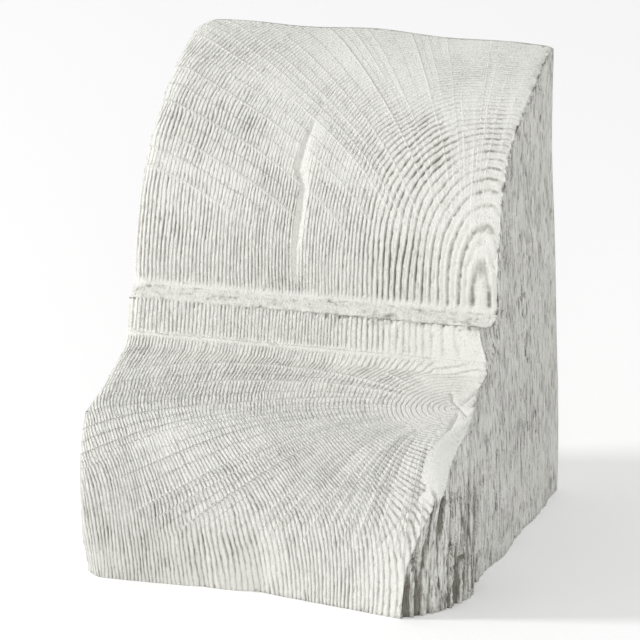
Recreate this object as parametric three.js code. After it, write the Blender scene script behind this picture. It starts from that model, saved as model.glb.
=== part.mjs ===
// A corbel cast to look like a short, weathered timber block with a moulded end cut across it.
// It stands on its deep, flat end, over the middle of its box. Millimetres: x across the width,
// +y to the flat back, +z up.
import * as THREE from 'three';

// Overall sizes. Depth is counted forwards from the flat back.
const WIDTH = 204;
const HEIGHT = 254;
const BASE_DEPTH = 212;

// The moulding, from the top edge down: a quarter round, a ledge, a fillet, a sloping cove and the nose.
const OVOLO_DEPTH = 121;
const OVOLO_FOOT = 138;
const OVOLO_FORWARD_POWER = 1.4;
const OVOLO_UPWARD_POWER = 2.4;
const LEDGE_DEPTH = 131;
const LEDGE_LIP = 133;
const FILLET_DEPTH = 135.5;
const FILLET_FOOT = 114;
const COVE_INNER_DEPTH = 139;
const COVE_INNER_HEIGHT = 108;
const COVE_OUTER_DEPTH = 209;
const COVE_OUTER_HEIGHT = 94;
const COVE_HOLLOW = 1.2;
const NOSE_DEPTH = 221;
const NOSE_BELLY_HEIGHT = 58;
const NOSE_BROW_POWER = 2.1;

// The brow between the cove and the nose is rounded off over this reach, straight back along its slope.
const BROW_REACH = 13;
const BROW_DROP = 2.6;
const BROW_BACK = 0.55;
const BROW_DOWN = 0.835;

// The right side leans out towards the foot and waves gently along the grain.
const RIGHT_LEAN_TOP = -2.2;
const RIGHT_LEAN_FOOT = 2;
const LEAN_START = 200;
const LEAN_END = 55;
const WAVE_LENGTH = 70;
const WAVE_FIRST_CREST = 43;
const WAVE_AT_BACK = 0.6;
const WAVE_AT_FRONT = 2.6;

// The front swells forwards at the right of the foot.
const SWELL_REACH = 20;
const SWELL_FULL_AT = 84;
const SWELL_HEIGHT = 75;

// Worn edges beside the two sides, and the top edge's slight waves.
const WEAR_BAND = 7;
const WEAR_DROP = 3.2;
const RIGHT_WEAR_BAND = 4;
const RIGHT_WEAR_DROP = 1.2;
const RIGHT_WEAR_FADE = 9;
const LEFT_TOP_CHIP_BAND = 12;
const LEFT_TOP_CHIP_DROP = 5;
const LEFT_FOOT_CLIP = 5;
const LEFT_FOOT_CLIP_HEIGHT = 26;
const TOP_EDGE_WAVE = 1.4;

// The right end of the fillet is notched in under the ledge.
const NOTCH_INSET = 6;
const NOTCH_LENGTH = 16;

// Two shallow vertical hollows in the lower front.
const HOLLOW_POSITIONS = [-36, -6];
const HOLLOW_DEPTH = 1.6;
const HOLLOW_HALF_WIDTH = 5;
const HOLLOW_HEIGHT = 50;

// The long drying split in the quarter round: height, left edge and open width at each station.
const SPLIT = [
  { z: 226, left: -13, width: 1, drop: 0 },
  { z: 219, left: -15.5, width: 4, drop: 1.2 },
  { z: 212, left: -17, width: 7, drop: 1.7 },
  { z: 203, left: -18.5, width: 10.5, drop: 2.2 },
  { z: 196, left: -12.5, width: 7, drop: 1.5 },
  { z: 183, left: -13, width: 7.5, drop: 2.2 },
  { z: 160, left: -13.5, width: 5.5, drop: 1.9 },
  { z: 147, left: -12, width: 3.5, drop: 1.2 },
  { z: 141, left: -8, width: 1, drop: 0 },
];

// The front right corner of the lower half is cut away: a grooved wane that widens towards the foot and,
// above it, a smooth chip out of the brow. Each station gives the cut across the front, the cut along the
// side and how far the cut face swells out between them.
const WANE = [
  { z: 0, front: 22, side: 45, swell: 6 },
  { z: 28, front: 19, side: 34, swell: 4 },
  { z: 50, front: 11, side: 20, swell: 2 },
  { z: 60, front: 6, side: 10, swell: 1 },
  { z: 66, front: 5, side: 3.5, swell: 0.5 },
  { z: 70, front: 10, side: 3, swell: 0.8 },
  { z: 76, front: 13, side: 4.5, swell: 1.2 },
  { z: 83, front: 12.5, side: 8.5, swell: 1.6 },
  { z: 89, front: 11, side: 11.5, swell: 2 },
  { z: 94, front: 9, side: 14, swell: 2 },
  { z: 99, front: 2.5, side: 3, swell: 0.5 },
  { z: 104, front: 0.8, side: 0.8, swell: 0 },
];
const SMALLEST_CUT = 0.8;

// How finely each stretch is divided.
const OVOLO_ROWS = 24;
const LEDGE_ROWS = 2;
const FILLET_ROWS = 4;
const CORNER_ROWS = 1;
const COVE_ROWS = 9;
const NOSE_ROWS = 17;
const FRONT_COLUMNS = 50;
const WANE_COLUMNS = 5;
const RIGHT_COLUMNS = 12;
const LEFT_COLUMNS = 5;

const HALF_WIDTH = WIDTH / 2;
const lerp = THREE.MathUtils.lerp;
const smooth = THREE.MathUtils.smoothstep;

// Reads a value between the stations of a table that is sorted by height, rising or falling.
function station(table, z, key) {
  const rows = [...table].sort((a, b) => a.z - b.z);
  const next = rows.findIndex((row) => row.z > z);
  if (next === 0) return rows[0][key];
  if (next < 0) return rows[rows.length - 1][key];
  const low = rows[next - 1];
  const high = rows[next];
  return lerp(low[key], high[key], (z - low.z) / (high.z - low.z));
}

// The moulding's section as a list of rows from the top edge to the foot.
function sectionRows() {
  const rows = [];
  for (let i = 0; i <= OVOLO_ROWS; i += 1) {
    const angle = (i / OVOLO_ROWS) * Math.PI / 2;
    rows.push({
      depth: OVOLO_DEPTH * Math.sin(angle) ** (2 / OVOLO_FORWARD_POWER),
      z: OVOLO_FOOT + (HEIGHT - OVOLO_FOOT) * Math.abs(Math.cos(angle)) ** (2 / OVOLO_UPWARD_POWER),
    });
  }
  const straight = (count, depth, z) => {
    const from = rows[rows.length - 1];
    for (let i = 1; i <= count; i += 1) {
      rows.push({ depth: lerp(from.depth, depth, i / count), z: lerp(from.z, z, i / count) });
    }
  };
  straight(LEDGE_ROWS, LEDGE_DEPTH, LEDGE_LIP);
  straight(FILLET_ROWS, FILLET_DEPTH, FILLET_FOOT);
  straight(CORNER_ROWS, COVE_INNER_DEPTH, COVE_INNER_HEIGHT);
  for (let i = 1; i <= COVE_ROWS; i += 1) {
    const t = i / COVE_ROWS;
    rows.push({
      depth: lerp(COVE_INNER_DEPTH, COVE_OUTER_DEPTH, t),
      z: lerp(COVE_INNER_HEIGHT, COVE_OUTER_HEIGHT, t) - COVE_HOLLOW * Math.sin(Math.PI * t),
    });
  }
  for (let i = 1; i <= NOSE_ROWS; i += 1) {
    const z = COVE_OUTER_HEIGHT * (1 - i / NOSE_ROWS);
    rows.push({ depth: noseDepth(z), z });
  }
  addBrowCut(rows);
  return rows;
}

// Marks how far each row near the brow is taken back, most at the brow itself.
function addBrowCut(rows) {
  const brow = rows.length - 1 - NOSE_ROWS;
  rows.forEach((row) => {
    const away = Math.hypot(row.depth - rows[brow].depth, row.z - rows[brow].z);
    row.browCut = BROW_DROP * Math.max(0, 1 - away / BROW_REACH) ** 2;
  });
}

function noseDepth(z) {
  if (z > NOSE_BELLY_HEIGHT) {
    const t = (z - NOSE_BELLY_HEIGHT) / (COVE_OUTER_HEIGHT - NOSE_BELLY_HEIGHT);
    return NOSE_DEPTH - (NOSE_DEPTH - COVE_OUTER_DEPTH) * t ** NOSE_BROW_POWER;
  }
  const t = (NOSE_BELLY_HEIGHT - z) / NOSE_BELLY_HEIGHT;
  return NOSE_DEPTH - (NOSE_DEPTH - BASE_DEPTH) * t ** 2;
}

// Gives each row the direction that points straight out of the surface.
function addNormals(rows) {
  rows.forEach((row, i) => {
    const before = rows[Math.max(i - 1, 0)];
    const after = rows[Math.min(i + 1, rows.length - 1)];
    const run = after.depth - before.depth;
    const fall = before.z - after.z;
    const length = Math.hypot(run, fall);
    row.outDepth = fall / length;
    row.outZ = run / length;
  });
  Object.assign(rows[0], { outDepth: 0, outZ: 1 });
  Object.assign(rows[rows.length - 1], { outDepth: 1, outZ: 0 });
}

function rightX(depth, z) {
  const lean = lerp(RIGHT_LEAN_FOOT, RIGHT_LEAN_TOP, smooth(z, LEAN_END, LEAN_START));
  const reach = depth / BASE_DEPTH;
  const wave = lerp(WAVE_AT_BACK, WAVE_AT_FRONT, reach ** 2);
  const across = wave * Math.cos((2 * Math.PI * (depth - WAVE_FIRST_CREST)) / WAVE_LENGTH);
  return HALF_WIDTH + lean + across + 0.4 * Math.sin(z / 19);
}

function leftX(depth, z) {
  return -HALF_WIDTH + 0.6 * Math.sin(depth / 31 + z / 57);
}

// How far the fillet's right end is set in: most just under the ledge, nothing at its foot.
function notch(depth, row) {
  const inFillet = smooth(row.z, COVE_INNER_HEIGHT, LEDGE_LIP - 2) * (row.z < LEDGE_LIP ? 1 : 0);
  return NOTCH_INSET * inFillet * smooth(depth, row.depth - NOTCH_LENGTH, row.depth - NOTCH_LENGTH / 2);
}

function bell(distance, halfWidth) {
  return Math.exp(-((distance / halfWidth) ** 2));
}

function splitDrop(x, z) {
  if (z > SPLIT[0].z || z < SPLIT[SPLIT.length - 1].z) return 0;
  const left = station(SPLIT, z, 'left');
  const width = station(SPLIT, z, 'width');
  const across = (x - left) / width;
  if (across < -0.1 || across > 1) return 0;
  return station(SPLIT, z, 'drop') * (across < 0.15 ? smooth(across, -0.1, 0.15) : 1 - smooth(across, 0.2, 1));
}

function edgeWear(distance, band, drop) {
  const t = THREE.MathUtils.clamp(1 - distance / band, 0, 1);
  return drop * t ** 1.6;
}

// A point of the front: the section's row moved in or out by the wear, the split and the swell.
function frontPoint(x, row) {
  const onOvolo = row.z >= OVOLO_FOOT;
  const fromLeft = x - leftX(row.depth, row.z);
  const fromRight = rightX(row.depth, row.z) - x;
  const upperLeft = onOvolo ? smooth(row.z, 205, 235) : 0;
  const leftBand = lerp(WEAR_BAND, LEFT_TOP_CHIP_BAND, upperLeft);
  const leftDrop = lerp(WEAR_DROP, LEFT_TOP_CHIP_DROP, upperLeft);
  const rightDrop = onOvolo ? RIGHT_WEAR_DROP * smooth(row.z, OVOLO_FOOT, OVOLO_FOOT + RIGHT_WEAR_FADE) : 0;
  let out = -edgeWear(fromLeft, leftBand, leftDrop) - edgeWear(fromRight, RIGHT_WEAR_BAND, rightDrop);
  if (onOvolo) out -= splitDrop(x, row.z);
  const footClip = LEFT_FOOT_CLIP * (1 - smooth(row.z, 0, LEFT_FOOT_CLIP_HEIGHT));
  out -= edgeWear(fromLeft, WEAR_BAND * 1.5, footClip);
  if (row.z < COVE_OUTER_HEIGHT) {
    const hollowFade = HOLLOW_DEPTH * (1 - smooth(row.z, 0, HOLLOW_HEIGHT));
    for (const centre of HOLLOW_POSITIONS) out -= hollowFade * bell(x - centre, HOLLOW_HALF_WIDTH);
  }
  const swell = SWELL_REACH * THREE.MathUtils.clamp(x / SWELL_FULL_AT, 0, 1)
    * Math.max(0, 1 - row.z / SWELL_HEIGHT) ** 1.5;
  const topWave = TOP_EDGE_WAVE * Math.cos(x / 17) * Math.cos(x / 41) * smooth(row.z, HEIGHT - 12, HEIGHT);
  const brow = row.browCut * (1 - edgeWear(fromLeft, WEAR_BAND, 1));
  return {
    depth: Math.max(0, row.depth + out * row.outDepth + swell - brow * BROW_BACK),
    z: row.z + out * row.outZ + topWave - brow * BROW_DOWN,
  };
}

// Shares the front's columns out so that they stand closer together at the split and the right edge.
function columnShares() {
  const steps = 400;
  const totals = [0];
  for (let i = 0; i < steps; i += 1) {
    const x = lerp(-HALF_WIDTH, HALF_WIDTH, (i + 0.5) / steps);
    const density = 1 + 1.2 * bell(x + 13, 12) + 0.8 * bell(x - HALF_WIDTH, 12) + 0.8 * bell(x + HALF_WIDTH, 10);
    totals.push(totals[i] + density);
  }
  const shares = [];
  for (let j = 0; j <= FRONT_COLUMNS; j += 1) {
    const wanted = (j / FRONT_COLUMNS) * totals[steps];
    const i = Math.min(steps - 1, totals.findIndex((total) => total >= wanted - 1e-9));
    const low = Math.max(0, i - 1);
    const part = i === 0 ? 0 : (wanted - totals[low]) / (totals[low + 1] - totals[low]);
    shares.push(j === FRONT_COLUMNS ? 1 : (low + part) / steps);
  }
  return shares;
}

const SHARES = columnShares();

// One row of the surface in order: left side from back to front, front, wane, right side to the back.
function surfaceRow(row, isFoot) {
  const points = [];
  const leftEdge = frontPoint(leftX(row.depth, row.z), row);
  for (let i = 0; i < LEFT_COLUMNS; i += 1) {
    const depth = leftEdge.depth * (i / LEFT_COLUMNS);
    points.push({ x: leftX(depth, row.z), depth, z: leftEdge.z });
  }
  const cutFront = Math.max(SMALLEST_CUT, station(WANE, row.z, 'front'));
  const wantedSide = Math.max(SMALLEST_CUT, station(WANE, row.z, 'side'));
  const cornerX = rightX(row.depth, row.z) - notch(row.depth, row);
  const startX = cornerX - cutFront;
  const left = leftX(row.depth, row.z);
  for (const share of SHARES) {
    const x = lerp(left, startX, share);
    points.push({ x, ...frontPoint(x, row) });
  }
  const start = points[points.length - 1];
  const edge = frontPoint(cornerX, row);
  const endDepth = Math.max(edge.depth - wantedSide, edge.depth * 0.6);
  const end = { x: rightX(endDepth, row.z) - notch(endDepth, row), depth: endDepth, z: edge.z };
  const cutLength = Math.hypot(end.x - start.x, start.depth - end.depth);
  for (let k = 1; k <= WANE_COLUMNS; k += 1) {
    const t = k / WANE_COLUMNS;
    const swell = (station(WANE, row.z, 'swell') * 4 * t * (1 - t)) / cutLength;
    points.push({
      x: lerp(start.x, end.x, t) + swell * (start.depth - end.depth),
      depth: lerp(start.depth, end.depth, t) + swell * (end.x - start.x),
      z: lerp(start.z, end.z, t),
    });
  }
  for (let m = 1; m <= RIGHT_COLUMNS; m += 1) {
    const depth = end.depth * (1 - m / RIGHT_COLUMNS);
    points.push({ x: rightX(depth, row.z) - notch(depth, row), depth, z: edge.z });
  }
  if (isFoot) points.forEach((point) => { point.z = 0; });
  return points;
}

function toVector(point) {
  return new THREE.Vector3(point.x, -point.depth, point.z);
}

// Collects triangles, leaving out those that have closed up into a line.
class Skin {
  constructor() {
    this.corners = [];
  }

  triangle(a, b, c) {
    const area = new THREE.Vector3().crossVectors(b.clone().sub(a), c.clone().sub(a)).length();
    if (area > 1e-6) this.corners.push(a, b, c);
  }

  // A flat face, as triangles that run from its middle to each stretch of its outline.
  face(loop) {
    const middle = new THREE.Vector3();
    for (const point of loop) middle.addScaledVector(point, 1 / loop.length);
    loop.forEach((point, i) => this.triangle(middle, loop[(i + 1) % loop.length], point));
  }

  geometry() {
    return new THREE.BufferGeometry().setFromPoints(this.corners);
  }
}

function buildGeometry() {
  const section = sectionRows();
  addNormals(section);
  const grid = section.map((row, i) => surfaceRow(row, i === section.length - 1).map(toVector));
  const skin = new Skin();
  for (let i = 0; i < grid.length - 1; i += 1) {
    for (let j = 0; j < grid[i].length - 1; j += 1) {
      const a = grid[i][j];
      const b = grid[i + 1][j];
      const c = grid[i + 1][j + 1];
      const d = grid[i][j + 1];
      skin.triangle(a, b, c);
      skin.triangle(a, c, d);
    }
  }
  const foot = grid[grid.length - 1];
  skin.face(foot);
  const leftBack = grid.map((row) => row[0]);
  const rightBack = grid.map((row) => row[row.length - 1]);
  const topEdge = grid[0].slice(LEFT_COLUMNS, LEFT_COLUMNS + FRONT_COLUMNS + 1 + WANE_COLUMNS);
  skin.face([...leftBack.slice(1).reverse(), ...topEdge, ...rightBack.slice(1)].reverse());
  const geometry = skin.geometry();
  geometry.computeBoundingBox();
  const middle = geometry.boundingBox.getCenter(new THREE.Vector3());
  return geometry.translate(-middle.x, -middle.y, 0);
}

const group = new THREE.Group();
group.name = 'corbel_block';
const corbel = new THREE.Mesh(
  buildGeometry(),
  new THREE.MeshStandardMaterial({ color: 0xdcdcd4, roughness: 0.75, metalness: 0 }),
);
corbel.name = 'corbel';
group.add(corbel);

export default group;
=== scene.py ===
"""Dresses the corbel: a white cast block with weathered end grain, standing on a pale studio floor."""

import math
from types import SimpleNamespace

import bpy
import numpy as np
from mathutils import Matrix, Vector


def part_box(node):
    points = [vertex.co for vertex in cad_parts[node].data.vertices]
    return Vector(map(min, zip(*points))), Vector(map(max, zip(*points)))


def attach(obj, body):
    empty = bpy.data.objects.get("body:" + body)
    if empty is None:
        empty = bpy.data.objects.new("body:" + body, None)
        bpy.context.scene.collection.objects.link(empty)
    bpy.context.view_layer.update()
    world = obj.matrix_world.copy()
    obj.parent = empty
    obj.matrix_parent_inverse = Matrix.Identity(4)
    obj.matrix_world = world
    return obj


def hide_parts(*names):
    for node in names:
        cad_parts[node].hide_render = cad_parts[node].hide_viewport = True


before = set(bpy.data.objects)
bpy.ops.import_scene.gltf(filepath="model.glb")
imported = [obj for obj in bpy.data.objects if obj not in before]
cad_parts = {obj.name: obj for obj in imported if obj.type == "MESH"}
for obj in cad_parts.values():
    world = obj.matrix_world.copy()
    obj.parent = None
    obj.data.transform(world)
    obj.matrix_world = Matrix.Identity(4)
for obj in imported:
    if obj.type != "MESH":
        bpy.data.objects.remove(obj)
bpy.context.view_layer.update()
low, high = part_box("corbel")

# Sizes in millimetres, as in the solid. Depth is counted forwards from the flat back.
MM = 0.001
HALF_WIDTH = 102.0
HEIGHT = 254.0
BASE_DEPTH = 212.0
OVOLO_DEPTH = 121.0
OVOLO_FOOT = 138.0
OVOLO_POWER_FORWARD, OVOLO_POWER_UP = 1.4, 2.4
LEDGE_DEPTH, LEDGE_LIP = 131.0, 133.0
FILLET_DEPTH, FILLET_FOOT = 135.5, 114.0
COVE_INNER_DEPTH, COVE_INNER_HEIGHT = 139.0, 108.0
COVE_OUTER_DEPTH, COVE_OUTER_HEIGHT = 209.0, 94.0
COVE_HOLLOW = 1.2
NOSE_DEPTH = 221.0
NOSE_BELLY_HEIGHT = 58.0
NOSE_POWER_ABOVE = 2.1
LEFT_BULGE = 0.6
BROW_REACH, BROW_DROP = 13.0, 2.6
BROW_BACK, BROW_DOWN = 0.55, 0.835

# Where the grain's pith comes out of the cove, and where the quarter round's rings and rays centre.
PITH_X = 92.0
PITH_DEPTH = 173.0
PITH_HEIGHT = 101.0
PITH_LEAN = 0.3
OUTER_RINGS_BACK = 18.0
NOSE_RINGS_RIGHT = 24.0
RING_DEPTH_ABOVE = 125.0
RAY_DEPTH_ABOVE = 146.0
RAY_BEND = 0.0025

# Spacing of the growth rings against their radius, above and below the ledge.
RINGS_ABOVE = (
    (0, 12, 20, 35, 55, 75, 90, 120, 170, 260),
    (7, 6, 5, 4, 3.0, 2.1, 1.8, 1.9, 2.3, 2.4),
)
RINGS_BELOW = (
    (0, 20, 45, 70, 100, 130, 180, 260),
    (3.4, 3.0, 2.5, 2.3, 1.7, 2.0, 1.8, 1.9),
)
WIDEST_RING_IN_FILLET = 2.6

# Directions of the ray lines, in degrees up from the left.
RAYS_ABOVE = (
    -4, 6, 13, 17.3, 21.8, 27.6, 34, 36.7, 39.3, 43.3, 50.4, 53.5, 56, 63.4, 66.4, 70.2, 72.6, 77.4,
    79.5, 81.5, 85.3, 90.5, 94, 97, 104,
)
RAYS_BELOW = (
    -50, -37, -27, -20, -8.4, 0, 5.3, 13.5, 24.8, 28.2, 32.5, 38.2, 42.4, 46.5, 50.2, 54.1, 58.2, 61.2,
    63.8, 67.6, 70.2, 74, 77.8, 80, 83, 88, 96,
)

# Heights and depths of the relief.
THREAD_ABOVE, THREAD_BELOW = 0.4, 0.6
SIDE_STREAKS = 0.8
WANE_GROOVES = 2.6
SIDE_PITS = 0.9
CHIP_SINK = 0.5
LIP_PITS = 1.0
RAGGED_EDGE = 1.3
CORNER_FILL = 0.6

# What the material reads in the middle of the flat back and foot.
FLAT_FACES = {"ring": 0, "grain": 0, "ray_away": 3, "ray_strength": 0, "fibre": 0.3, "painted_shade": 0}

# Points of the fine surface before it is thinned: rows in each stretch of the section, columns round a row.
ROWS = {"ovolo": 230, "ledge": 14, "fillet": 28, "corner": 10, "cove": 100, "nose": 118}
FRONT_COLUMNS = 560
WANE_COLUMNS = 64
RIGHT_COLUMNS = 400
LEFT_COLUMNS = 60
LAST_FRONT = LEFT_COLUMNS + FRONT_COLUMNS
LAST_WANE = LAST_FRONT + WANE_COLUMNS
TRIANGLES_KEPT = 198000
FALL_PER_ROW = 0.01

# Points along the curves of the section before its rows are spaced out.
OVOLO_POINTS = 600
COVE_POINTS = 200
NOSE_POINTS = 400

# The noise repeats after this many bumps, and the rings shift by up to this share between two rays.
NOISE_CELLS = 64
RING_SHIFT = 0.45
RING_SHIFT_SEED = 71


def smooth(t, start, end):
    """Rises from nought at the start to one at the end."""
    t = np.clip((t - start) / (end - start), 0, 1)
    return t * t * (3 - 2 * t)


def bell(distance, half_width):
    return np.exp(-((distance / half_width) ** 2))


def noise(x, y, z, seed):
    """Smooth noise between about -1 and 1, one bump to each unit."""
    size = NOISE_CELLS
    table = np.random.default_rng(seed).uniform(-1, 1, (size, size, size))
    x, y, z = np.broadcast_arrays(x, y, z)
    cell = [np.floor(a).astype(int) for a in (x, y, z)]
    part = [a - c for a, c in zip((x, y, z), cell)]
    part = [p * p * (3 - 2 * p) for p in part]
    total = 0
    for i in (0, 1):
        for j in (0, 1):
            for k in (0, 1):
                weight = (part[0] if i else 1 - part[0]) * (part[1] if j else 1 - part[1])
                weight = weight * (part[2] if k else 1 - part[2])
                corner = table[(cell[0] + i) % size, (cell[1] + j) % size, (cell[2] + k) % size]
                total = total + weight * corner
    return total


def flat_noise(across, down, seed):
    """The same noise in the unrolled surface."""
    return noise(across, down, 0.5, seed)


def section():
    """The moulding's section, from the top edge to the foot: depth, height, outward direction, length run."""
    angle = np.linspace(0, math.pi / 2, OVOLO_POINTS)
    ovolo_height = HEIGHT - OVOLO_FOOT
    depth = list(OVOLO_DEPTH * np.sin(angle) ** (2 / OVOLO_POWER_FORWARD))
    z = list(OVOLO_FOOT + ovolo_height * np.abs(np.cos(angle)) ** (2 / OVOLO_POWER_UP))
    depth += [LEDGE_DEPTH, FILLET_DEPTH, COVE_INNER_DEPTH]
    z += [LEDGE_LIP, FILLET_FOOT, COVE_INNER_HEIGHT]
    t = np.linspace(0, 1, COVE_POINTS)[1:]
    depth += list(COVE_INNER_DEPTH + (COVE_OUTER_DEPTH - COVE_INNER_DEPTH) * t)
    sag = COVE_HOLLOW * np.sin(math.pi * t)
    z += list(COVE_INNER_HEIGHT + (COVE_OUTER_HEIGHT - COVE_INNER_HEIGHT) * t - sag)
    fall = np.linspace(COVE_OUTER_HEIGHT, 0, NOSE_POINTS)[1:]
    above = np.clip((fall - NOSE_BELLY_HEIGHT) / (COVE_OUTER_HEIGHT - NOSE_BELLY_HEIGHT), 0, 1)
    below = np.clip((NOSE_BELLY_HEIGHT - fall) / NOSE_BELLY_HEIGHT, 0, 1)
    nose_above = (NOSE_DEPTH - COVE_OUTER_DEPTH) * above**NOSE_POWER_ABOVE
    nose_below = (NOSE_DEPTH - BASE_DEPTH) * below**2
    depth += list(NOSE_DEPTH - nose_above - nose_below)
    z += list(fall)
    depth, z = np.array(depth), np.array(z)
    run = np.concatenate([[0], np.cumsum(np.hypot(np.diff(depth), np.diff(z)))])
    ovolo_end = OVOLO_POINTS - 1
    cove_end = ovolo_end + 2 + COVE_POINTS
    ends = [0, ovolo_end, ovolo_end + 1, ovolo_end + 2, ovolo_end + 3, cove_end, -1]
    marks = [run[end] for end in ends]
    stations = [np.linspace(a, b, n, endpoint=False) for a, b, n in zip(marks, marks[1:], ROWS.values())]
    s = np.concatenate(stations + [[run[-1]]])
    d, h = np.interp(s, run, depth), np.interp(s, run, z)
    step = 1.2
    ahead, behind = np.minimum(s + step, run[-1]), np.maximum(s - step, 0)
    out_depth = np.interp(behind, run, z) - np.interp(ahead, run, z)
    out_z = np.interp(ahead, run, depth) - np.interp(behind, run, depth)
    length = np.hypot(out_depth, out_z)
    out_depth, out_z = out_depth / length, out_z / length
    out_depth[0], out_z[0], out_depth[-1], out_z[-1] = 0, 1, 1, 0
    return {"depth": d, "z": h, "out_depth": out_depth, "out_z": out_z, "s": s, "marks": marks}


ROW = section()
MARKS = dict(zip(("top", "ledge", "fillet", "corner", "cove", "nose", "foot"), ROW["marks"]))

# The long split in the quarter round and the cut corner of the lower half, as in the solid.
SPLIT_Z = (141, 147, 160, 183, 196, 203, 212, 219, 226)
SPLIT_LEFT = (-8, -12, -13.5, -13, -12.5, -18.5, -17, -15.5, -13)
SPLIT_WIDTH = (1, 3.5, 5.5, 7.5, 7, 10.5, 7, 4, 1)
SPLIT_DROP = (0, 1.2, 1.9, 2.2, 1.5, 2.2, 1.7, 1.2, 0)
WANE_Z = (0, 28, 50, 60, 66, 70, 76, 83, 89, 94, 99, 104)
WANE_FRONT = (22, 19, 11, 6, 5, 10, 13, 12.5, 11, 9, 2.5, 0.8)
WANE_SIDE = (45, 34, 20, 10, 3.5, 3, 4.5, 8.5, 11.5, 14, 3, 0.8)
WANE_SWELL = (6, 4, 2, 1, 0.5, 0.8, 1.2, 1.6, 2, 2, 0.5, 0)
WANE_LEAST = 0.8

# Left edge of the smooth chip beside the pith: across (x) and down (s) the unrolled surface.
CHIP_EDGE_S = (221, 240, 255, 280, 301, 310, 320, 327)
CHIP_EDGE_X = (92, 94, 95, 96.5, 96, 93, 89.5, 85.5)

# Drying cracks at the pith, as lines across (x) and down (s) the unrolled surface: depth and half width.
CRACKS = (
    (((87, 240), (89.5, 248), (95.6, 255), (103.8, 265)), 1.2, 0.6),
    (((101.4, 232), (94, 256)), 1.1, 0.7),
    (((96, 261), (96.5, 280), (96, 301), (93, 310), (89.5, 320)), 1.3, 0.7),
    (((89.5, 320), (83, 330), (66, 352)), 0.8, 0.6),
)


def right_x(depth, z):
    lean = 2 - 4.2 * smooth(z, 55, 200)
    wave = 0.6 + 2 * (depth / BASE_DEPTH) ** 2
    across = wave * np.cos(2 * math.pi * (depth - 43) / 70)
    return HALF_WIDTH + lean + across + 0.4 * np.sin(z / 19)


def left_x(depth, z):
    return -HALF_WIDTH + LEFT_BULGE * np.sin(depth / 31 + z / 57)


def notch(depth, row_depth, z):
    """How far the right side is cut in under the ledge's end."""
    in_fillet = np.where(z < LEDGE_LIP, smooth(z, COVE_INNER_HEIGHT, LEDGE_LIP - 2), 0)
    return 6 * in_fillet * smooth(depth, row_depth - 16, row_depth - 8)


def split_drop(x, z):
    left = np.interp(z, SPLIT_Z, SPLIT_LEFT) + 0.7 * flat_noise(z / 4, 0.5, 3)
    across = (x - left) / np.interp(z, SPLIT_Z, SPLIT_WIDTH)
    shape = np.where(across < 0.15, smooth(across, -0.06, 0.12), 1 - smooth(across, 0.2, 1))
    inside = (across > -0.1) & (across < 1) & (z > SPLIT_Z[0]) & (z < SPLIT_Z[-1])
    return np.where(inside, np.interp(z, SPLIT_Z, SPLIT_DROP) * shape, 0)


def edge_wear(distance, band, drop):
    return drop * np.clip(1 - distance / band, 0, 1) ** 1.6


def front_point(x, depth, z, out_depth, out_z):
    """Depth and height of a point of the front, with the wear, the split, the hollows and the swell."""
    on_ovolo = z >= OVOLO_FOOT
    from_left = x - left_x(depth, z)
    from_right = right_x(depth, z) - x
    upper_left = np.where(on_ovolo, smooth(z, 205, 235), 0)
    right_drop = np.where(on_ovolo, 1.2 * smooth(z, OVOLO_FOOT, OVOLO_FOOT + 9), 0)
    out = -edge_wear(from_left, 7 + 5 * upper_left, 3.2 + 1.8 * upper_left)
    out = out - edge_wear(from_right, 4, right_drop)
    out = out - np.where(on_ovolo, split_drop(x, z), 0)
    out = out - edge_wear(from_left, 10.5, 5 * (1 - smooth(z, 0, 26)))
    hollow = 1.6 * (1 - smooth(z, 0, 50))
    out = out - hollow * (bell(x + 36, 5) + bell(x + 6, 5))
    swell = 20 * np.clip(x / 84, 0, 1) * np.maximum(0, 1 - z / 75) ** 1.5
    top_wave = 1.4 * np.cos(x / 17) * np.cos(x / 41) * smooth(z, HEIGHT - 12, HEIGHT)
    away = np.hypot(depth - COVE_OUTER_DEPTH, z - COVE_OUTER_HEIGHT)
    brow = BROW_DROP * np.maximum(0, 1 - away / BROW_REACH) ** 2 * (1 - edge_wear(from_left, 7, 1))
    new_depth = depth + out * out_depth + swell - brow * BROW_BACK
    return np.maximum(0, new_depth), z + out * out_z + top_wave - brow * BROW_DOWN


def column_shares():
    """Places of the front's columns, closer together at the split and the right edge."""
    x = np.linspace(-HALF_WIDTH, HALF_WIDTH, 2000)
    density = 1 + 0.4 * bell(x + 13, 10) + 0.7 * bell(x - 92, 12) + 0.5 * bell(x + HALF_WIDTH, 8)
    total = np.concatenate([[0], np.cumsum((density[1:] + density[:-1]) / 2)])
    shares = np.linspace(0, 1, len(x))
    return np.interp(np.linspace(0, 1, FRONT_COLUMNS + 1), total / total[-1], shares)


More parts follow.
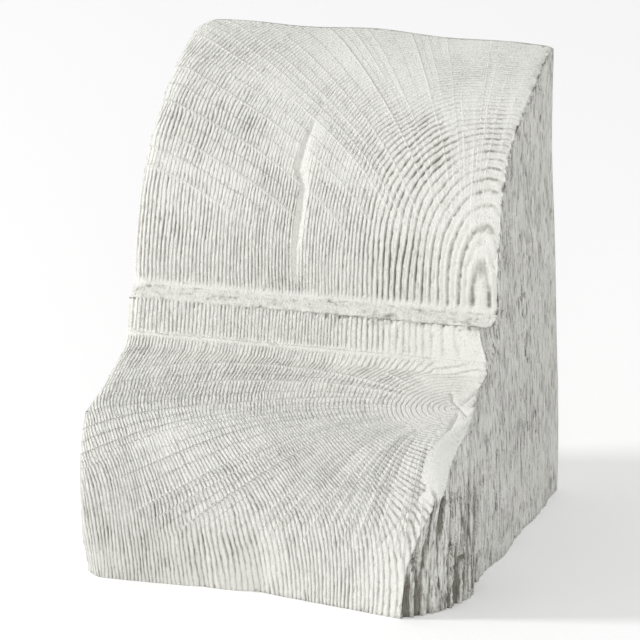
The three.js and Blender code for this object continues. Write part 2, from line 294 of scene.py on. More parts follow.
def base_grid():
    """The surface as rows of points: left side from the back, front, wane, right side to the back."""
    d, z = ROW["depth"][:, None], ROW["z"][:, None]
    od, oz = ROW["out_depth"][:, None], ROW["out_z"][:, None]
    left = left_x(d, z)
    edge_d, edge_z = front_point(left, d, z, od, oz)
    i = np.arange(LEFT_COLUMNS)[None, :] / LEFT_COLUMNS
    side_d = edge_d * np.sin(i * math.pi / 2)
    # The side's rows fall steadily, also where the worn edge's rows cross at the lip and the brow.
    rank = FALL_PER_ROW * np.arange(len(z))[:, None]
    side_z = np.minimum.accumulate(edge_z + rank) - rank
    left_part = (left_x(side_d, z), side_d, side_z + 0 * i)

    corner = right_x(d, z) - notch(d, d, z)
    cut_front = np.maximum(WANE_LEAST, np.interp(z, WANE_Z, WANE_FRONT))
    cut_side = np.maximum(WANE_LEAST, np.interp(z, WANE_Z, WANE_SIDE))
    x = left + (corner - cut_front - left) * column_shares()[None, :]
    front_d, front_z = front_point(x, d, z, od, oz)

    start = (x[:, -1:], front_d[:, -1:], front_z[:, -1:])
    edge_d, edge_z = front_point(corner, d, z, od, oz)
    end_d = np.maximum(edge_d - cut_side, edge_d * 0.6)
    end = (right_x(end_d, z) - notch(end_d, d, z), end_d, edge_z)
    t = np.arange(1, WANE_COLUMNS + 1)[None, :] / WANE_COLUMNS
    swell = np.interp(z, WANE_Z, WANE_SWELL) * 4 * t * (1 - t)
    swell = swell / np.hypot(end[0] - start[0], start[1] - end[1])
    wane_part = (
        start[0] + (end[0] - start[0]) * t + swell * (start[1] - end[1]),
        start[1] + (end[1] - start[1]) * t + swell * (end[0] - start[0]),
        start[2] + (end[2] - start[2]) * t,
    )

    m = np.arange(1, RIGHT_COLUMNS + 1)[None, :] / RIGHT_COLUMNS
    right_d = end_d * (1 - m)
    right_part = (right_x(right_d, z) - notch(right_d, d, z), right_d, edge_z + 0 * m)
    parts = (left_part, (x, front_d, front_z), wane_part, right_part)
    grid = [np.concatenate([p[axis] for p in parts], axis=1) for axis in range(3)]
    # Before the wear and the swell, which the growth rings don't follow.
    plain_depth, plain_z = grid[1].copy(), grid[2].copy()
    front = slice(LEFT_COLUMNS, LAST_FRONT + 1)
    plain_depth[:, front], plain_z[:, front] = d, z
    return grid + [plain_depth, plain_z]


def outward(x, y, z):
    """Unit normals of the grid."""
    grid = np.stack([x, y, z], -1)
    along, down = np.gradient(grid, axis=1), np.gradient(grid, axis=0)
    normal = np.cross(down, along)
    return normal / np.maximum(np.linalg.norm(normal, axis=-1, keepdims=True), 1e-9)


def superellipse(across, forward):
    """Radius that is round near the centre and squarer far from it."""
    across, forward = np.abs(across) + 1e-6, np.abs(forward) + 1e-6
    power = 2 + 0.9 * smooth(np.maximum(across, forward), 30, 100)
    return (across**power + forward**power) ** (1 / power)


def ring_count(radius, table):
    """Number of growth rings from the pith out to a radius, and the spacing there."""
    at = np.linspace(0, 300, 1200)
    spacing = np.interp(at, *table)
    count = np.concatenate([[0], np.cumsum(np.diff(at) / ((spacing[1:] + spacing[:-1]) / 2))])
    return np.interp(radius, at, count), np.interp(radius, at, spacing)


def ray_count(angle, directions):
    """Ray lines passed up to an angle, whole on a line, and the angle between the lines there."""
    lines = np.radians(directions)
    count = np.interp(angle, lines, np.arange(len(lines)))
    gap = np.interp(angle, (lines[1:] + lines[:-1]) / 2, np.diff(lines))
    return count, gap


def segment_distance(x, s, points):
    """Distance in the unrolled surface from a line through the given points."""
    best = np.full(np.broadcast(x, s).shape, 1e9)
    for (ax, ay), (bx, by) in zip(points, points[1:]):
        length = (bx - ax) ** 2 + (by - ay) ** 2
        t = np.clip(((x - ax) * (bx - ax) + (s - ay) * (by - ay)) / length, 0, 1)
        best = np.minimum(best, np.hypot(x - ax - t * (bx - ax), s - ay - t * (by - ay)))
    return best


def groove(count, inner, outer):
    """One at each whole count and nought midway between."""
    away = np.abs(count - np.round(count))
    return 1 - smooth(away, inner, outer)


def shell(count):
    """Rises gently towards each whole count from the outside and drops sharply behind it."""
    part = count - np.floor(count)
    return np.minimum(smooth(part, 0, 0.3), 1 - np.clip((part - 0.3) / 0.7, 0, 1) ** 1.3)


def chip_share(x, s):
    """One inside the smooth chip beside the pith, nought outside it."""
    edge = np.interp(s, CHIP_EDGE_S, CHIP_EDGE_X)
    soft = np.where(s < 255, 5, 1.2)
    return smooth(x, edge - soft, edge + soft) * smooth(s, 218, 223) * (1 - smooth(s, 322, 330))


def lay_out():
    """The grid's points, their way down the section (s) and the stretches that the relief tells apart."""
    x, depth, z, plain_depth, plain_z = base_grid()
    g = SimpleNamespace(x=x, depth=depth, z=z, plain_depth=plain_depth, plain_z=plain_z)
    g.s = np.broadcast_to(ROW["s"][:, None], x.shape)
    column = np.broadcast_to(np.arange(x.shape[1])[None, :], x.shape)
    g.on_left = column < LEFT_COLUMNS
    g.on_front = (column >= LEFT_COLUMNS) & (column <= LAST_FRONT)
    g.on_wane = (column > LAST_FRONT) & (column <= LAST_WANE)
    g.on_right = column > LAST_WANE
    g.above = g.s < MARKS["corner"]
    g.on_fillet = g.above & (g.s > MARKS["fillet"])
    g.in_chip = chip_share(x, g.s)
    g.beside_split = 1 - smooth(np.where(g.above, split_drop(x, z), 0), 0.2, 1.0)
    return g


def count_rings(g):
    """Growth rings counted out from the pith, and the spacing between them."""
    from_right = PITH_X - g.x
    radius_above = superellipse(from_right, g.plain_depth - RING_DEPTH_ABOVE)
    ring_above, gap_above = ring_count(radius_above, RINGS_ABOVE)
    # The outer rings centre further back than the pith itself.
    from_pith = np.hypot(from_right, g.plain_depth - PITH_DEPTH + OUTER_RINGS_BACK / 2)
    back_shift = OUTER_RINGS_BACK * smooth(from_pith, 8, 110)
    forward = g.plain_depth - PITH_DEPTH + back_shift + PITH_LEAN * (PITH_HEIGHT - g.plain_z)
    aside = from_right + NOSE_RINGS_RIGHT * smooth(g.s, 280, 345) * (0.4 + 0.6 * smooth(g.x, -60, 20))
    ring_below, gap_below = ring_count(np.hypot(aside, forward), RINGS_BELOW)
    g.gap = np.where(g.above, gap_above, gap_below)
    wander = noise(g.x / 17, g.depth / 17, g.z / 60, 11)
    wander = wander + 0.42 * noise(g.x / 6, g.depth / 6, g.z / 26, 12)
    wander = wander + 0.16 * noise(g.x / 2.2, g.depth / 2.2, g.z / 5, 14)
    g.ring = np.where(g.above, ring_above, ring_below) + wander / g.gap
    g.near_pith = np.where(g.above, 1, 0.25 + 0.75 * smooth(np.hypot(from_right, forward), 12, 60))


def count_rays(g):
    """Ray lines counted round the pith, the reach out from it and the way from the nearest line."""
    from_right = PITH_X - g.x
    left_of = np.maximum(from_right, 0.5)
    below_pith = g.s - (MARKS["cove"] + (PITH_DEPTH - COVE_INNER_DEPTH))
    bend = RAY_BEND * left_of**2 * (1 - 0.75 * smooth(below_pith / left_of, 0.1, 0.6))
    angle_above = np.arctan2(RAY_DEPTH_ABOVE - g.plain_depth, from_right)
    angle_below = np.arctan2(below_pith - bend, left_of)
    ray_above, between_above = ray_count(angle_above, RAYS_ABOVE)
    ray_below, between_below = ray_count(angle_below, RAYS_BELOW)
    reach_above = np.hypot(RAY_DEPTH_ABOVE - g.depth, from_right)
    g.reach = np.where(g.above, reach_above, np.hypot(below_pith, left_of))
    ray_gap = g.reach * np.where(g.above, between_above, between_below)
    wander = 0.4 * flat_noise(g.x / 20, g.s / 20, 13) + 0.12 * flat_noise(g.x / 5, g.s / 5, 15)
    g.ray = np.where(g.above, ray_above, ray_below) + wander / np.maximum(ray_gap, 3)
    g.ray_away = np.clip((g.ray - np.round(g.ray)) * ray_gap, -3, 3)


def grain_strength(g):
    """Strong on the faces, faint on the ledge, the chips and the top's middle."""
    x, s = g.x, g.s
    ledge, fillet, corner = MARKS["ledge"], MARKS["fillet"], MARKS["corner"]
    patches = 0.95 + 0.2 * flat_noise(x / 26, s / 26, 21) + 0.2 * flat_noise(x / 9, s / 14, 22)
    grain = np.clip(patches, 0.5, 1.2)
    grain = grain * (1 - 0.55 * bell(np.hypot((x + 8) / 42, (s - 38) / 30), 1))
    grain = grain * (0.7 + 0.3 * smooth(s, 4, 40))
    grain = grain * (1 - 0.35 * smooth(x, 10, 50) * (1 - smooth(s, 50, 90)))
    grain = grain * (1 - 0.9 * smooth(s, ledge - 4, ledge) * g.above)
    grain = grain * smooth(np.abs(s - corner), 0.4, 1.8)
    on_fillet = smooth(s, fillet - 0.5, fillet + 2) * (1 - smooth(s, corner - 3, corner))
    fillet_grain = 0.15 + 0.7 * on_fillet * (1 - 0.6 * smooth(x, 10, 90))
    grain = np.where(g.above & (s > ledge), fillet_grain, grain)
    grain = np.where(g.above, grain, grain * (0.5 + 0.5 * smooth(s, corner, corner + 3)))
    grain = grain * g.beside_split * (1 - bell(np.hypot((x + 9) / 5, (s - 88) / 9), 1))
    grain = grain * (1 - g.in_chip)
    near_left = smooth(x + HALF_WIDTH, 0.2, 2.5)
    near_right = np.where(g.above, smooth(right_x(g.depth, g.z) - x, 1, 4), 1)
    grain = grain * (0.3 + 0.7 * near_left * near_right)
    return np.where(g.on_front, grain, 0)


def crispness(g):
    """Some sectors between ray lines are blurred, others crisp."""
    sector = flat_noise(g.ray * 0.9, g.reach / 38, 32)
    blur_above = np.where(g.s > MARKS["ledge"] - 62, 0, 0.35)
    blur = np.where(g.above, blur_above, 0.2)
    return 1 - blur * (1 - smooth(sector, -0.35, 0.15))


def ray_strength(g):
    """Each ray line has its own strength, which comes and goes along it."""
    strength = np.clip(0.6 + 0.9 * flat_noise(np.round(g.ray) * 3.7, g.reach / 40, 31), 0.12, 1.2)
    strength = strength * np.where(g.above, 1.1 - 0.65 * smooth(g.x, 0, 60), 1.2)
    zone = g.on_front & ((g.s < MARKS["ledge"] - 10) | (g.s > MARKS["cove"] + 4))
    strength = strength * zone * (1 - g.in_chip) * smooth(g.reach, 22, 50) * (1 - smooth(g.s, 335, 368))
    return strength * g.beside_split * np.where(g.above, 1 - smooth(g.s, 128, 160), 1)


def carve_rings(g):
    """Rings and rays of the front. Returns the height, and how much painted shade darkens the grooves."""
    x, s = g.x, g.s
    # Rings fade where a ray crosses them, and a thin thread stands up along the ray.
    from_ray = np.abs(g.ray_away)
    band = (1 - smooth(from_ray, 0.35, 1.1)) * np.clip(g.ray_strength, 0, 1)
    thread = (1 - smooth(from_ray, 0.15, 0.65)) * g.ray_strength
    shifts = np.random.default_rng(RING_SHIFT_SEED).uniform(-RING_SHIFT, RING_SHIFT, NOISE_CELLS)
    shift = shifts[np.floor(g.ray).astype(int) % NOISE_CELLS]
    g.ring = g.ring + shift * np.clip(g.ray_strength, 0, 1) * smooth(g.reach, 50, 90)
    g.gap = np.where(g.on_fillet, np.minimum(g.gap, WIDEST_RING_IN_FILLET), g.gap)

    own_depth = np.clip(0.85 + 0.4 * noise(g.ring, x / 15, s / 15, 33), 0.35, 1.3)
    ring_depth = np.clip(0.2 * g.gap, 0.4, 0.55) + np.where(g.above, 0.35, 0.45)
    ring_depth = ring_depth * g.near_pith * (1 - 0.4 * smooth(g.gap, 2.8, 5))
    ring_depth = ring_depth * (1 + 0.35 * smooth(s, 300, 370) * (1 - smooth(x, -40, 60)))
    broken = 0.8 + 0.2 * smooth(noise(1.3 * g.ring, x / 3.5, s / 3.5, 35), -0.5, 0.1)
    cut = ring_depth * own_depth * g.crisp * g.grain * broken * (1 - shell(g.ring))
    fine = 0.5 * smooth(g.gap, 2.2, 3.6) * g.grain
    fine = fine * groove(2 * g.ring + 0.25 * flat_noise(x / 5, s / 9, 34), 0.05, 0.45)
    dash = noise(2.3 * g.ring, x / 2.2, s / 2.2, 36) * (0.06 + 0.2 * g.grain) * g.on_front
    thread_height = np.where(g.above, THREAD_ABOVE, THREAD_BELOW) * thread
    height = -(cut + fine) * (1 - 0.8 * band) + thread_height + dash

    # Painted shade in the ring grooves and the dash dips, heavier down the quarter round and on the nose,
    # fainter where rays cross.
    shade_above = 0.45 + 0.27 * smooth(s, 15, 90)
    shade_below = 0.34 + 0.20 * smooth(s, 285, 310)
    shade = np.where(g.above, shade_above, shade_below) * (1 - 0.1 * smooth(g.gap, 2.8, 5))
    painted_shade = shade * (cut + fine) * (1 - 0.9 * band) + np.clip(-2.5 * dash, 0, 0.3)
    return height, painted_shade


def carve_sides(g):
    """Upright fibres: deep grooves in the wane, fainter ones and short pits towards the back."""
    depth, z = g.depth, g.z
    step = np.hypot(np.diff(g.x, axis=1), np.diff(depth, axis=1))
    around = np.cumsum(step[:, ::-1], axis=1)[:, ::-1]
    around = np.concatenate([around, np.zeros((len(around), 1))], axis=1)
    around = np.where(g.on_left, depth - 400, around)
    around = around + 1.6 * flat_noise(around / 19, z / 70, 55) + 0.3 * flat_noise(around / 5, z / 14, 56)

    low_side = (1 - smooth(z, 52, 84)) * smooth(depth, 135, 175) * 0.7
    low_front = g.on_wane * (1 - smooth(z, 62, 74)) + g.on_right * low_side
    wide = np.abs(flat_noise(around / 3.3, z / 60, 51))
    deep = low_front * (1 - smooth(wide, 0.02, 0.4)) * (0.8 + 0.5 * flat_noise(around / 8, z / 30, 57))
    narrow = np.abs(flat_noise(around / 1.5, z / 24, 66))
    deep = deep + 0.4 * low_front * (1 - smooth(narrow, 0.02, 0.3))

    lines = smooth(np.abs(flat_noise(around / 1.3, z / 30, 52)), 0, 0.3) - 0.75
    streaks = 0.8 * lines + 0.5 * flat_noise(around / 2.4, z / 45, 53)
    streaks = streaks + 0.7 * flat_noise(around / 9, z / 90, 58)
    evenness = 0.55 + 0.45 * smooth(depth, 10, 70)
    dashes = flat_noise(around / 1.2, z / 5.5, 59) + 0.35 * flat_noise(around / 12, z / 25, 60)
    dashes = dashes + 0.18 * bell(depth - 85, 30) * (z < 170) - 0.15
    pits = smooth(dashes, 0.42, 0.7) * (g.on_right + 0.4 * g.on_left)

    smooth_chip = g.on_wane * smooth(z, 62, 68) * (1 - smooth(z, 100, 106))
    g.rough = g.on_right + g.on_wane * (1 - smooth_chip) + 0.5 * g.on_left
    height = SIDE_STREAKS * g.rough * evenness * streaks - WANE_GROOVES * deep - SIDE_PITS * pits
    # Painted shade in the wane's deep grooves, the pits and the fibre lines.
    painted_shade = 1.3 * deep + 1.3 * pits + g.rough * evenness * (np.maximum(-lines, 0) + 0.02)
    return height, painted_shade * ~g.on_front


def carve_cracks(g):
    """The front's broad waves, the drying cracks and the sunk chip at the pith."""
    waves = 0.35 * flat_noise(g.x / 24, g.s / 40, 54) + 0.12 * flat_noise(g.x / 7, g.s / 9, 63)
    height = waves - CHIP_SINK * g.in_chip * smooth(g.s, 252, 262)
    for points, fall, half_width in CRACKS:
        height = height - fall * bell(segment_distance(g.x, g.s, points), half_width)
    return height * g.on_front


def carve_ledge(g):
    """The ledge's coarse top, its chipped and pitted lip and the soft corner at the fillet's foot."""
    x, s = g.x, g.s
    fillet = MARKS["fillet"]
    on_ledge = g.above * smooth(s, MARKS["ledge"] - 1, MARKS["ledge"] + 1)
    on_ledge = on_ledge * (1 - smooth(s, fillet, fillet + 3))
    coarse = on_ledge * (0.35 * flat_noise(x / 9, s / 1.1, 72) + 0.3 * flat_noise(x / 1.7, s / 1.5, 73))
    pitted = flat_noise(x / 2.4, s / 2.0, 74) + 0.3 * flat_noise(x / 12, 0.5, 75) + 0.2 * smooth(x, -60, 40)
    lip_pits = smooth(pitted, 0.4, 0.9) * bell(s - fillet - 2, 2.2)
    lip = bell(s - fillet - 0.5, 2.6) * (1.2 + 1.4 * smooth(x, -40, 40))
    chips = 0.7 * flat_noise(x / 11, 0.5, 61) + 0.6 * flat_noise(x / 3.5, s / 3, 62)
    chips = chips + 0.3 * flat_noise(x / 1.6, s / 1.6, 67)
    corner = CORNER_FILL * bell(s - MARKS["corner"] - 0.4, 1.0)
    height = coarse - LIP_PITS * lip_pits + lip * (chips - 0.15) + corner
    # Painted shade over the ledge's top, in its coarse dips and in the lip's pits.
    painted_shade = 0.4 * on_ledge + np.clip(-1.5 * coarse, 0, 1) + 0.6 * lip_pits
    return height * g.on_front, painted_shade * g.on_front


def carve_arris(g):
    """Small breaks along the right arris."""
    from_arris = np.abs(right_x(g.depth, g.z) - g.x)
    ragged = smooth(flat_noise(g.s / 3.4, g.x / 3, 64) + 0.3 * flat_noise(g.s / 11, 0.5, 65), 0.15, 0.6)
    ragged = ragged * bell(from_arris, 2.2) * (g.on_front | g.on_wane) * (g.s > 12)
    # The breaks are sunk, and darkened with painted shade.
    return -RAGGED_EDGE * ragged, 0.8 * ragged


def dress():
    """Builds the dense surface with its relief. Returns its coordinates and what the material reads."""
    g = lay_out()
    count_rings(g)
    count_rays(g)
    g.grain = grain_strength(g)
    g.crisp = crispness(g)
    g.ray_strength = ray_strength(g)
    carved = [carve(g) for carve in (carve_rings, carve_sides, carve_ledge, carve_arris)]
    height = sum(part[0] for part in carved) + carve_cracks(g)
    # Painted shade from the grooves, pits, ledge and breaks, summed.
    painted_shade = sum(part[1] for part in carved)

    x, y, z = g.x, -g.depth, g.z
    height = height * smooth(g.depth, 0.2, 3.0)
    normal = outward(x, y, z)
    normal[-1, :, 2] = 0
    x, y, z = x + normal[..., 0] * height, y + normal[..., 1] * height, z + normal[..., 2] * height
    y = np.minimum(y, 0)
    z = np.maximum(z, 0)
    z[-1] = 0
    values = {
        "ring": g.ring,
        "grain": g.grain * g.crisp * (1 - 0.25 * smooth(g.gap, 2.6, 5)),
        "ray_away": g.ray_away,
        "ray_strength": g.ray_strength,
        "fibre": g.rough,
        "painted_shade": painted_shade,
    }
    # Along the outline of the flat back all values are the same as in its middle.
    rim = (g.depth < 0.01) | (g.s <= 0)
    values = {name: np.where(rim, FLAT_FACES[name], value) for name, value in values.items()}
    return x, y, z, values


def grid_faces(index):
    """Two triangles to each cell of the grid, without the ones that have no area."""
    a, b, c, d = index[:-1, :-1], index[1:, :-1], index[1:, 1:], index[:-1, 1:]
    halves = [np.stack(half, -1).reshape(-1, 3) for half in ((a, b, c), (a, c, d))]
    triangles = np.concatenate(halves)
    distinct = (triangles[:, 0] != triangles[:, 1]) & (triangles[:, 1] != triangles[:, 2])
    return triangles[distinct & (triangles[:, 0] != triangles[:, 2])]


def closed_surface(x, y, z):
    """Points and triangles of the whole block, with the foot and the back closed round their middles."""
    rows, columns = x.shape
    shift = np.array([low[0] + (HALF_WIDTH + LEFT_BULGE) * MM, high[1], 0])
    points = np.stack([x, y, z], -1).reshape(-1, 3) * MM + shift
    index = np.arange(rows * columns).reshape(rows, columns)
    # The top row's side points all lie on the two top corners.
    index[0, :LEFT_COLUMNS] = index[0, LEFT_COLUMNS]
    index[0, LAST_WANE + 1:] = index[0, LAST_WANE]
    foot = index[-1]
    top = index[0, LEFT_COLUMNS:LAST_WANE + 1]
    back = np.concatenate([index[1:, -1][::-1], top[::-1], index[1:, 0]])
    faces = [grid_faces(index)]
    middles = []
    for loop in (foot, back):
        middle = len(points) + len(middles)
        middles.append(points[loop].mean(0))
        following = np.roll(loop, -1)
        faces.append(np.stack([np.full(len(loop), middle), following, loop], -1))
    return np.concatenate([points, middles]), np.concatenate(faces)


def fine_mesh(points, triangles, values):
    """A mesh of the points in use, with the material's values on them."""
    used = np.unique(triangles)
    renumber = np.zeros(len(points), int)
    renumber[used] = np.arange(len(used))
    triangles = renumber[triangles]
    mesh = bpy.data.meshes.new("cast_block_fine")
    mesh.vertices.add(len(used))
    mesh.vertices.foreach_set("co", points[used].astype(np.float32).ravel())
    mesh.loops.add(triangles.size)
    mesh.loops.foreach_set("vertex_index", triangles.astype(np.int32).ravel())
    mesh.polygons.add(len(triangles))
    mesh.polygons.foreach_set("loop_start", np.arange(0, triangles.size, 3, dtype=np.int32))
    for name, value in values.items():
        middles = [FLAT_FACES[name]] * (len(points) - value.size)
        flat = np.concatenate([value.reshape(-1), middles])[used]
        mesh.attributes.new(name, "FLOAT", "POINT").data.foreach_set("value", flat.astype(np.float32))
    mesh.update(calc_edges=True)
    mesh.validate()
    return mesh


def thinned(mesh, name):
    """The mesh brought down to the triangles that are kept, with no point under the floor."""
    fine = bpy.data.objects.new(mesh.name, mesh)
    bpy.context.scene.collection.objects.link(fine)
    thin = fine.modifiers.new("thin", "DECIMATE")
    thin.ratio = TRIANGLES_KEPT / len(mesh.polygons)
    kept = bpy.data.meshes.new_from_object(fine.evaluated_get(bpy.context.evaluated_depsgraph_get()))
    bpy.data.objects.remove(fine)
    kept.name = name
    places = np.zeros(len(kept.vertices) * 3)
    kept.vertices.foreach_get("co", places)
    places[2::3] = np.maximum(places[2::3], 0)
    kept.vertices.foreach_set("co", places)
    return kept


def shade_smooth(mesh):
    """Smooth shading all over but on the flat back and foot."""
    normals = np.zeros(len(mesh.polygons) * 3)
    mesh.polygons.foreach_get("normal", normals)
    normals = normals.reshape(-1, 3)
    faces_down = np.abs(normals[:, 2] + 1) < 1e-4
    faces_back = np.abs(normals[:, 1] - 1) < 1e-4
    mesh.polygons.foreach_set("use_smooth", ~(faces_down | faces_back))
    mesh.update()


def build_block():
    x, y, z, values = dress()
    points, triangles = closed_surface(x, y, z)
    kept = thinned(fine_mesh(points, triangles, values), "cast_block")
    shade_smooth(kept)
    block = bpy.data.objects.new("cast_block", kept)
    bpy.context.scene.collection.objects.link(block)
    return block


class Nodes:
    """Shorthand for building a material's node tree."""

    def __init__(self, name):
        self.material = bpy.data.materials.new(name)
        self.material.use_nodes = True
        self.tree = self.material.node_tree
        self.tree.nodes.clear()

    def add(self, kind, **settings):
        node = self.tree.nodes.new(kind)
        for key, value in settings.items():
            setattr(node, key, value)
        return node

    def put(self, socket, value):
        if hasattr(value, "is_output"):
            self.tree.links.new(value, socket)
        else:
            socket.default_value = value

    def math(self, operation, *values):
        node = self.add("ShaderNodeMath", operation=operation)
        for socket, value in zip(node.inputs, values):
            self.put(socket, value)
        return node.outputs[0]

    def total(self, start, terms):
        """A start value and each term's value times its share."""
        for value, share in terms:
            start = self.math("MULTIPLY_ADD", value, share, start)
        return start

    def value(self, name):
        return self.add("ShaderNodeAttribute", attribute_name=name).outputs["Fac"]

    def smooth(self, value, start, end, to_start=0.0, to_end=1.0):
        node = self.add("ShaderNodeMapRange", interpolation_type="SMOOTHSTEP")
        for socket, item in zip(node.inputs, (value, start, end, to_start, to_end)):
            self.put(socket, item)
        return node.outputs[0]

    def noise(self, vector, scale, detail=2.0, roughness=0.5):
        node = self.add("ShaderNodeTexNoise")
        self.put(node.inputs["Vector"], vector)
        self.put(node.inputs["Scale"], scale)
        self.put(node.inputs["Detail"], detail)
        self.put(node.inputs["Roughness"], roughness)
        return node.outputs["Fac"]

    def upright(self, vector, scale):
        """The place with its height scaled down, so that what is drawn there stands long and upright."""
        node = self.add("ShaderNodeMapping")
        self.put(node.inputs["Vector"], vector)
        node.inputs["Scale"].default_value = (1, 1, scale)
        return node.outputs["Vector"]

    def blend(self, factor, first, second):
        node = self.add("ShaderNodeMix", data_type="RGBA")
        self.put(node.inputs["Factor"], factor)
        self.put(node.inputs["A"], first)
        self.put(node.inputs["B"], second)
        return node.outputs["Result"]

    def finish(self, shader):
        out = self.add("ShaderNodeOutputMaterial")
        self.put(out.inputs["Surface"], shader.outputs["BSDF"])
        return self.material


PAINT_WARM = (0.80, 0.80, 0.75, 1)
PAINT_PALE = (0.86, 0.855, 0.81, 1)
# Painted shade: the grey mixed into the white paint in grooves, pits and dashes.
PAINTED_SHADE_GREY = (0.27, 0.26, 0.22, 1)


def ring_lines(n, waver):
    """Thin lines behind the rings, sunk by the bump and darkened with painted shade, and fainter ones halfway
    between them.
    """
    grain = n.value("grain")
    ring = n.math("MULTIPLY_ADD", waver, 0.35, n.value("ring"))
    core = n.math("ABSOLUTE", n.math("SUBTRACT", n.math("FRACT", n.math("ADD", ring, 0.42)), 0.5))
    line = n.math("MULTIPLY", n.smooth(core, 0.02, 0.2, 1.0, 0.0), grain)
    across = n.math("ABSOLUTE", n.math("SUBTRACT", n.math("FRACT", n.math("MULTIPLY", ring, 2.0)), 0.5))
    return line, n.math("MULTIPLY", n.smooth(across, 0.1, 0.45, 0.0, 1.0), grain)


def ray_threads(n, waver):
    """A thin thread along each ray line, lightened with a painted highlight, and the faint line beside it,
    with a little painted shade.
    """
    away = n.math("MULTIPLY_ADD", waver, 0.5, n.value("ray_away"))
    strength = n.value("ray_strength")
    thread = n.math("MULTIPLY", n.smooth(n.math("ABSOLUTE", away), 0.1, 0.5, 1.0, 0.0), strength)
    beside = n.math("ABSOLUTE", n.math("ADD", away, 0.65))
    return thread, n.math("MULTIPLY", n.smooth(beside, 0.1, 0.45, 1.0, 0.0), strength)


def side_fibres(n, place):
    """Upright fibres with painted highlight on their crests and painted shade between them, and short sunk
    dashes darkened with painted shade, on the long-grain sides.
    """
    fibre = n.value("fibre")
    fibres = n.math("SUBTRACT", n.noise(n.upright(place, 0.13), 850, 3, 0.6), 0.5)
    dashes = n.noise(n.upright(place, 0.09), 1000, 3, 0.6)
    patches = n.math("MULTIPLY_ADD", n.noise(n.upright(place, 0.4), 60, 2), 0.3, -0.15)
    dashes = n.smooth(n.math("ADD", dashes, patches), 0.36, 0.46, 1.0, 0.0)
    return n.math("MULTIPLY", fibres, fibre), n.math("MULTIPLY", dashes, fibre)


def primed_casting():
    n = Nodes("primed_casting")
    place = n.add("ShaderNodeTexCoord").outputs["Object"]
    waver = n.math("SUBTRACT", n.noise(n.upright(place, 0.12), 420, 2), 0.5)
    line, sub_line = ring_lines(n, waver)
    thread, beside = ray_threads(n, waver)
    fibres, dashes = side_fibres(n, place)
    grit = n.math("SUBTRACT", n.noise(place, 900, 3, 0.6), 0.5)
    pores = n.smooth(n.noise(place, 520, 1), 0.27, 0.36, -1.0, 0.0)

    # Heights in metres.
    height = n.total(0.0, (
        (sub_line, -0.00008),
        (line, -0.00040),
        (thread, 0.00040),
        (beside, -0.00012),
        (fibres, 0.0020),
        (dashes, -0.0007),
        (grit, 0.00090),
        (pores, 0.00025),
    ))
    bump = n.add("ShaderNodeBump")
    bump.inputs["Distance"].default_value = 1.0
    n.put(bump.inputs["Height"], height)

    # Painted shade darkens the hollows, ring lines, ray edges and dashes. Painted highlight lightens the
    # threads and the fibres' crests, with painted shade between the fibres and a fine speckle from the grit.
    shade_and_highlight = n.total(n.smooth(n.value("painted_shade"), 0.05, 1.6), (
        (line, 0.4),
        (beside, 0.05),
        (dashes, 0.42),
        (grit, 0.5),
        (fibres, -0.9),
        (thread, -0.3),
    ))
    white = n.blend(n.noise(place, 22, 3), PAINT_WARM, PAINT_PALE)
    paint = n.add("ShaderNodeBsdfPrincipled")
    n.put(paint.inputs["Base Color"], n.blend(n.smooth(shade_and_highlight, 0.0, 1.0), white, PAINTED_SHADE_GREY))
    n.put(paint.inputs["Roughness"], n.math("MULTIPLY_ADD", n.noise(place, 160, 2), 0.2, 0.62))
    paint.inputs["Specular IOR Level"].default_value = 0.3
    n.put(paint.inputs["Normal"], bump.outputs["Normal"])
    return n.finish(paint)


# The studio: places and sizes in metres, powers in watts.
FLOOR_REACH = 6.0
FLOOR_COLOUR = (0.9, 0.9, 0.9, 1)
FLOOR_ROUGHNESS = 0.8
FLOOR_GLOW = 0.13
WHITE = (1, 1, 1, 1)
SKY_STRENGTH = 0.66
LIGHT_AIM = (0, 0, 0.12)
LIGHTS = (
    {"name": "key", "place": (-2.75, -0.75, 1.6), "size": 0.45, "power": 56.5},
    {"name": "fill", "place": (1.2, -2.8, 1.1), "size": 1.2, "power": 20},
)


def pale_floor():
    n = Nodes("pale_floor")
    place = n.add("ShaderNodeTexCoord").outputs["Object"]
    shader = n.add("ShaderNodeBsdfPrincipled")
    shader.inputs["Base Color"].default_value = FLOOR_COLOUR
    n.put(shader.inputs["Roughness"], n.math("MULTIPLY_ADD", n.noise(place, 6, 2), 0.1, FLOOR_ROUGHNESS))
    shader.inputs["Emission Color"].default_value = WHITE
    shader.inputs["Emission Strength"].default_value = FLOOR_GLOW
    return n.finish(shader)


def area_light(name, place, size, power):
    light = bpy.data.lights.new(name, "AREA")
    light.size = size
    light.energy = power
    lamp = bpy.data.objects.new(name, light)
    bpy.context.scene.collection.objects.link(lamp)
    lamp.location = place
    away = np.array(place) - np.array(LIGHT_AIM)
    tilt = math.atan2(math.hypot(away[0], away[1]), away[2])
    lamp.rotation_euler = (tilt, 0, math.atan2(away[0], -away[1]))


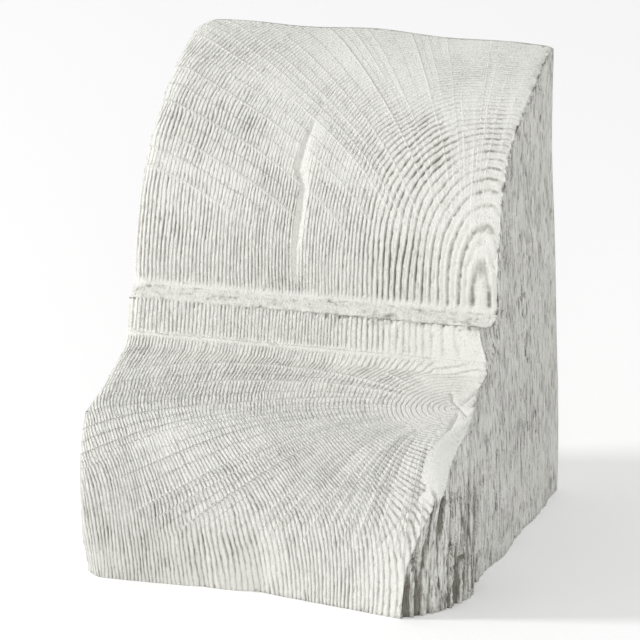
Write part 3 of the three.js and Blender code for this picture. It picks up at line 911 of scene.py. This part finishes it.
def build_stage():
    reach = FLOOR_REACH
    mesh = bpy.data.meshes.new("floor")
    corners = [(-reach, -reach, 0), (reach, -reach, 0), (reach, reach, 0), (-reach, reach, 0)]
    mesh.from_pydata(corners, [], [(0, 1, 2, 3)])
    floor = bpy.data.objects.new("floor", mesh)
    bpy.context.scene.collection.objects.link(floor)
    mesh.materials.append(pale_floor())
    world = bpy.data.worlds.new("studio")
    world.use_nodes = True
    background = world.node_tree.nodes["Background"]
    background.inputs["Color"].default_value = WHITE
    background.inputs["Strength"].default_value = SKY_STRENGTH
    bpy.context.scene.world = world
    for light in LIGHTS:
        area_light(**light)


# The photograph's view: its turn and rise, the focal length in pixels, the scale, and the aim in millimetres.
VIEW_TURN = math.radians(16.5)
VIEW_RISE = math.radians(17.5)
VIEW_FOCAL_PIXELS = 9000
VIEW_MM_PER_PIXEL = 0.54956
VIEW_AIM_ACROSS = -31.333
VIEW_AIM_UP = -36.568
PICTURE_PIXELS = 640
SENSOR_MM = 36
CAMERA_REACH = 50


def place_camera():
    camera = bpy.data.objects.new("camera", bpy.data.cameras.new("camera"))
    bpy.context.scene.collection.objects.link(camera)
    camera.data.sensor_width = SENSOR_MM
    camera.data.lens = VIEW_FOCAL_PIXELS * SENSOR_MM / PICTURE_PIXELS
    camera.data.clip_end = CAMERA_REACH
    sin_turn, cos_turn = math.sin(VIEW_TURN), math.cos(VIEW_TURN)
    sin_rise, cos_rise = math.sin(VIEW_RISE), math.cos(VIEW_RISE)
    back = np.array([sin_turn * cos_rise, -cos_turn * cos_rise, sin_rise])
    right = np.array([cos_turn, sin_turn, 0])
    up = np.cross(back, right)
    aim = np.array([low[0] / MM + HALF_WIDTH + LEFT_BULGE, high[1] / MM, HEIGHT / 2])
    away = VIEW_FOCAL_PIXELS * VIEW_MM_PER_PIXEL
    camera.location = (aim + right * VIEW_AIM_ACROSS + up * VIEW_AIM_UP + back * away) * MM
    camera.rotation_euler = (math.pi / 2 - VIEW_RISE, 0, VIEW_TURN)
    bpy.context.scene.camera = camera


bpy.context.scene.view_settings.view_transform = "Standard"
block = build_block()
block.data.materials.append(primed_casting())
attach(block, "root")
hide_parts("corbel")
build_stage()
place_camera()
